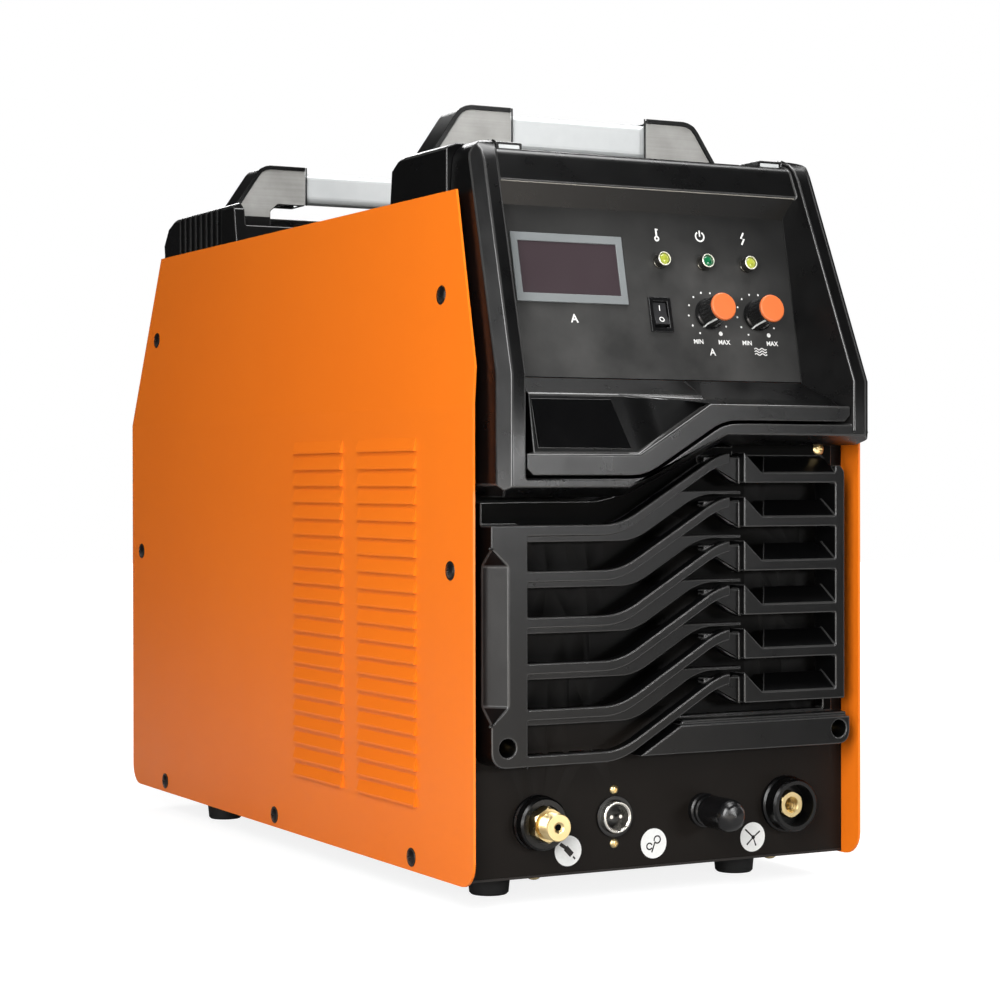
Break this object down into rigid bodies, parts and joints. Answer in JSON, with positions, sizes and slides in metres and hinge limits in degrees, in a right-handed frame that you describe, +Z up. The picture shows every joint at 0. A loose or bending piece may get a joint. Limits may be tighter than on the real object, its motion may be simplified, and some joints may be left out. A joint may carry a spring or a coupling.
{
  "type": "plasma cutter unit",
  "caption": "Upright inverter plasma cutter: orange sheet-metal case, black wave-barred front grille, leaning control panel under a moulded hood, front sockets and carrying handles.",
  "frame": {"origin": "on the floor under the middle of the bounding box", "axes": "+X to the right seen from the front, +Y from the front to the back, +Z up; the control panel faces -Y"},
  "size_m": [0.2804, 0.6177, 0.4905],
  "materials": {
    "orange_sheet": "satin powder coat",
    "dark_sheet": "fine satin powder coat",
    "black_moulding": "satin",
    "grey_moulding": "satin",
    "grey_panel": "fine texture",
    "gloss_black": "gloss",
    "grey_bezel": "satin",
    "smoked_window": "gloss",
    "bright_metal": "polished",
    "yellow_lens": "gloss",
    "green_lens": "gloss",
    "switch_black": "satin",
    "knob_black": "satin",
    "orange_cap": "satin",
    "steel": "satin",
    "brass_part": "machined",
    "rubber_black": "matt",
    "black_screw": "satin",
    "bar_aluminium": "brushed",
    "core_iron": "matt",
    "copper": "enamelled wire",
    "circuit_board": "satin",
    "hose_blue": "matt"
  },
  "bodies": {
    "case": {"base_tray": "dark_sheet", "front_plate": "dark_sheet", "rear_plate": "dark_sheet", "top_cover": "dark_sheet", "left_side_panel": "orange_sheet", "right_side_panel": "orange_sheet", "front_hood": "black_moulding", "front_top_cap": "black_moulding", "rear_top_cap": "black_moulding", "control_panel": "grey_panel", "chin_moulding": "black_moulding", "badge_plate": "gloss_black", "display_bezel": "grey_bezel", "display_window": "smoked_window", "lamp_bezels": "bright_metal", "yellow_lamp_lenses": "yellow_lens", "green_lamp_lens": "green_lens", "purge_switch_body": "switch_black", "potentiometers": "steel", "front_grille": "black_moulding", "torch_insulator": "black_moulding", "torch_fitting": "brass_part", "trigger_socket_shell": "bright_metal", "trigger_socket_insert": "switch_black", "trigger_socket_pins": "bright_metal", "pilot_terminal_base": "switch_black", "pilot_terminal_pin": "brass_part", "work_socket_housing": "black_moulding", "work_socket_insert": "brass_part", "rubber_feet": "rubber_black", "foot_screws": "brass_part", "side_panel_screws": "black_screw", "front_screws": "brass_part", "front_handle_brackets": "grey_moulding", "front_handle_bar": "bar_aluminium", "rear_handle_brackets": "grey_moulding", "rear_handle_bar": "bar_aluminium", "fan_frame": "switch_black", "mains_switch_body": "switch_black", "cable_gland": "black_moulding", "air_inlet": "brass_part", "earth_stud": "brass_part", "transformer_core": "core_iron", "transformer_winding": "copper", "output_choke": "copper", "heatsink": "bar_aluminium", "power_board": "circuit_board", "control_board": "circuit_board", "air_valve": "steel", "air_hose": "hose_blue"},
    "current_knob": {"current_knob": "knob_black", "current_knob_cap": "orange_cap", "current_knob_shaft": "steel"},
    "purge_knob": {"purge_knob": "knob_black", "purge_knob_cap": "orange_cap", "purge_knob_shaft": "steel"},
    "purge_rocker": {"purge_switch_rocker": "switch_black"},
    "pilot_cap": {"pilot_terminal_cap": "switch_black"},
    "fan": {"fan_rotor": "switch_black"},
    "mains_toggle": {"mains_switch_toggle": "switch_black"}
  },
  "joints": [
    {"name": "current_knob_turn", "type": "hinge", "parent": "case", "child": "current_knob", "pos_m": [0.0362, -0.27106, 0.35737], "axis": [0, 0.9759, -0.2181], "range_deg": [0, 280]},
    {"name": "purge_knob_turn", "type": "hinge", "parent": "case", "child": "purge_knob", "pos_m": [0.072, -0.27106, 0.35737], "axis": [0, 0.9759, -0.2181], "range_deg": [0, 280]},
    {"name": "purge_rocker_tilt", "type": "hinge", "parent": "case", "child": "purge_rocker", "pos_m": [0.001, -0.2626, 0.35394], "axis": [1, 0, 0], "range_deg": [0, 18]},
    {"name": "pilot_cap_pull", "type": "slide", "parent": "case", "child": "pilot_cap", "axis": [0, -1, 0], "range_m": [0, 0.03]},
    {"name": "fan_spin", "type": "hinge", "parent": "case", "child": "fan", "pos_m": [0, 0.27035, 0.174], "axis": [0, 1, 0], "continuous": true},
    {"name": "mains_toggle_tilt", "type": "hinge", "parent": "case", "child": "mains_toggle", "pos_m": [0.07, 0.27785, 0.266], "axis": [0, 0, -1], "range_deg": [0, 18]}
  ]
}
